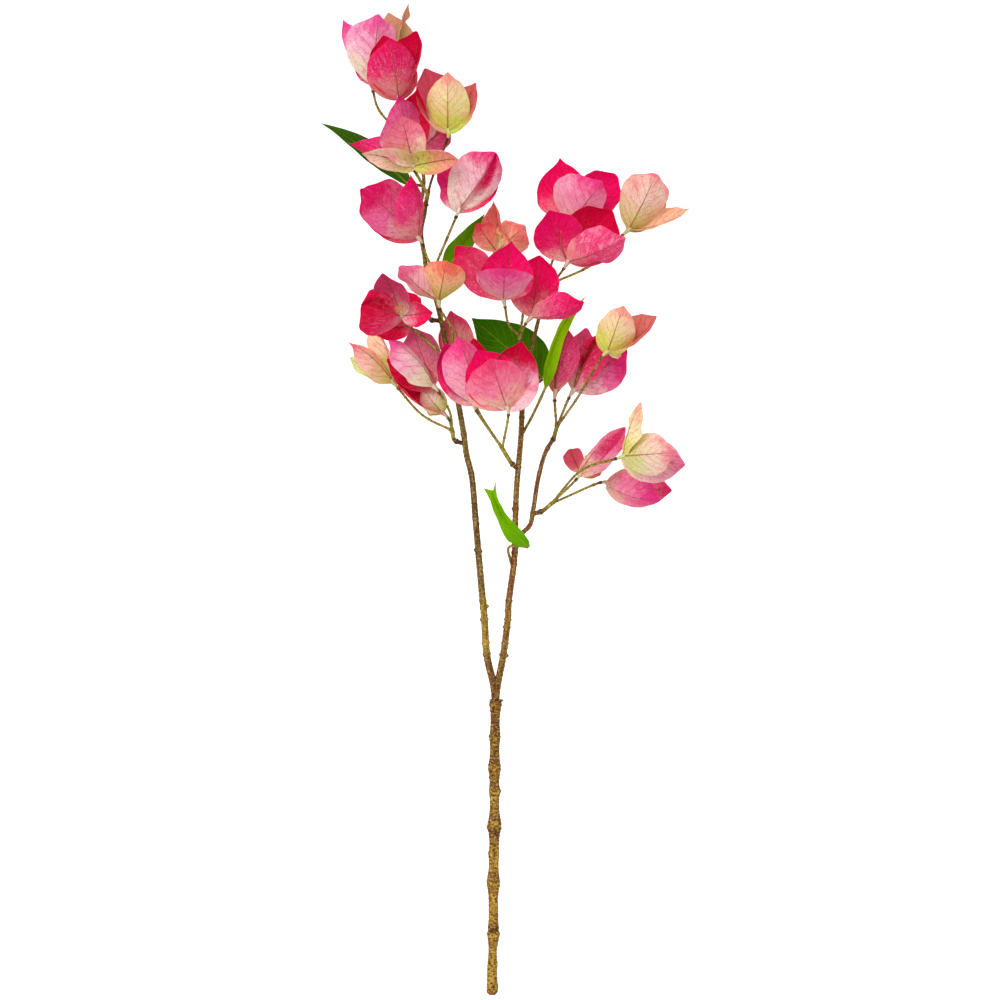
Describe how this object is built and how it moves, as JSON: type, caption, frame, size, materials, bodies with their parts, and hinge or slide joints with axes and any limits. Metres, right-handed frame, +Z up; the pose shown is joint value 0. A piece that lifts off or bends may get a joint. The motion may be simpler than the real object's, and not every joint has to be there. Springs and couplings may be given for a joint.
{
  "type": "artificial bougainvillea spray",
  "caption": "Long cut stem of an artificial bougainvillea, forked, with plug-in sprigs of cupped papery pink and cream blooms and a few green leaves, lying flat.",
  "frame": {"origin": "on the surface it lies on, below the middle of the spray's bounding box", "axes": "+Y up the stem from its cut end to its tip; +Z up, away from the surface, and the side that the blooms face; +X to the right"},
  "size_m": [0.3332, 0.8926, 0.1542],
  "materials": {
    "stem": "moulded faux bark, ochre with brown mottling, matt",
    "bark": "moulded faux bark, brown-olive, matt",
    "green_bark": "moulded faux bark, olive green, matt",
    "sleeve": "moulded twig, olive with dark streaks, matt",
    "leaf": "printed green polyester leaf with raised veins",
    "rose": "printed polyester bracts, rose pink fading to pale at the base",
    "hot": "printed polyester bracts, hot pink with a fine crinkle",
    "crimson": "printed polyester bracts, crimson",
    "cream": "printed polyester bracts, cream and lime tipped with pink",
    "coral": "printed polyester bracts, coral",
    "dusty": "printed polyester bracts, dusty pink",
    "tan": "printed polyester bracts, tan"
  },
  "bodies": {
    "root": {"main_stem": "stem", "left_bough": "bark", "right_bough": "bark", "left_top_bough": "green_bark", "right_top_bough": "bark", "side_bough": "bark", "tip_sprig": "sleeve", "crown_sprig": "sleeve", "shoulder_sprig": "sleeve", "fork_sprig": "sleeve", "spur_sprig": "sleeve", "low_left_sprig": "sleeve", "centre_sprig": "sleeve", "middle_sprig": "sleeve", "right_top_sprig": "sleeve", "right_sprig": "sleeve", "low_right_sprig": "sleeve", "dark_leaf": "leaf", "shoulder_leaf": "leaf", "broad_leaf": "leaf", "narrow_leaf": "leaf", "curled_leaf": "leaf", "tip_bloom_1": "rose", "tip_bloom_2": "hot", "tip_bloom_3": "tan", "crown_bloom_1": "cream", "crown_bloom_2": "hot", "crown_bloom_3": "cream", "shoulder_bloom_1": "hot", "shoulder_bloom_2": "rose", "fork_bloom_1": "cream", "fork_bloom_2": "crimson", "spur_bloom_1": "crimson", "low_left_bloom_1": "cream", "low_left_bloom_2": "rose", "low_left_bloom_3": "dusty", "centre_bloom_1": "dusty", "centre_bloom_2": "rose", "centre_bloom_3": "rose", "middle_bloom_1": "cream", "middle_bloom_2": "hot", "middle_bloom_3": "hot", "right_top_bloom_1": "coral", "right_top_bloom_2": "hot", "right_top_bloom_3": "hot", "right_top_bloom_4": "cream", "right_bloom_1": "crimson", "right_bloom_2": "crimson", "right_bloom_3": "cream", "low_right_bloom_1": "rose", "low_right_bloom_2": "cream", "low_right_bloom_3": "rose"}
  },
  "joints": []
}
